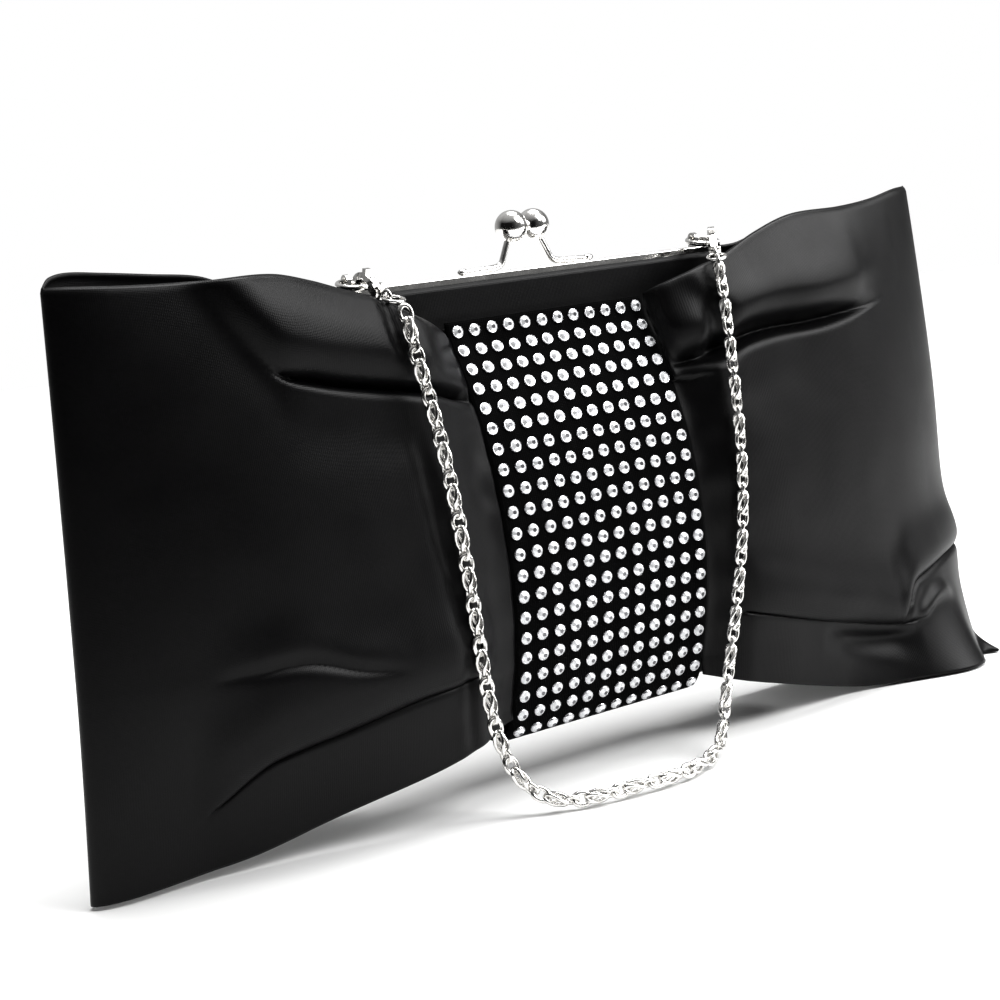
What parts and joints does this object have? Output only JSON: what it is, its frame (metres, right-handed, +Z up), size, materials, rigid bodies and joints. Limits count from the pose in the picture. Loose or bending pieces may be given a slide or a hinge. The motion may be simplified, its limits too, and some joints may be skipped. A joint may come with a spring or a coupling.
{
  "type": "evening bag",
  "caption": "Black satin bow evening bag: ball-clasp frame pouch, stone-set centre band, open bow loops and a chain handle on lobster clasps.",
  "frame": {"origin": "on the table, under the middle of the band, in the plane where the two frame halves meet", "axes": "+X along the length to the wearer's left seen from the front, -Y to the front, +Z up"},
  "size_m": [0.2922, 0.0698, 0.1507],
  "materials": {
    "chrome": "polished silver-tone plating",
    "chain_chrome": "polished silver-tone links",
    "satin": "black satin",
    "velvet": "black velvet ribbon",
    "crystal": "clear cut glass, foil backed",
    "board": "stiffener board",
    "lining": "black woven lining"
  },
  "bodies": {
    "front_half": {"front_frame": "chrome", "left_hinge_rivet": "chrome", "right_hinge_rivet": "chrome", "front_clasp_stem": "chrome", "front_clasp_ball": "chrome", "left_lug": "chrome", "left_strap_ring": "chrome", "left_clasp_body": "chrome", "left_clasp_pin": "chrome", "left_swivel_eye": "chrome", "left_jump_ring": "chrome", "right_lug": "chrome", "right_strap_ring": "chrome", "right_clasp_body": "chrome", "right_clasp_pin": "chrome", "right_swivel_eye": "chrome", "right_jump_ring": "chrome", "chain": "chain_chrome", "front_panel": "satin", "base_panel": "satin", "back_lower_panel": "satin", "left_wing": "satin", "right_wing": "satin", "bow_gather": "satin", "centre_band": "velvet", "stones": "crystal", "front_board": "board", "base_board": "board", "back_lower_board": "board", "front_lining": "lining", "base_lining": "lining", "back_lower_lining": "lining", "left_gusset": "lining", "right_gusset": "lining", "inner_pocket": "lining"},
    "back_half": {"back_frame": "chrome", "back_clasp_stem": "chrome", "back_clasp_ball": "chrome", "back_upper_panel": "satin", "back_upper_board": "board", "back_upper_lining": "lining", "band_back_upper": "velvet"},
    "left_lever": {"left_clasp_lever": "chrome"},
    "right_lever": {"right_clasp_lever": "chrome"}
  },
  "joints": [
    {"name": "frame_hinge", "type": "hinge", "parent": "front_half", "child": "back_half", "pos_m": [0, 0, 0.092], "axis": [-1, 0, 0], "range_deg": [0, 50]},
    {"name": "left_lever_pivot", "type": "hinge", "parent": "front_half", "child": "left_lever", "pos_m": [-0.05576, -0.01526, 0.13461], "axis": [-0.9903, -0.1392, 0], "range_deg": [0, 12], "stiffness_Nm_per_rad": 0.001},
    {"name": "right_lever_pivot", "type": "hinge", "parent": "front_half", "child": "right_lever", "pos_m": [0.05338, -0.0143, 0.13461], "axis": [-0.809, 0.5878, 0], "range_deg": [0, 12], "stiffness_Nm_per_rad": 0.001}
  ]
}
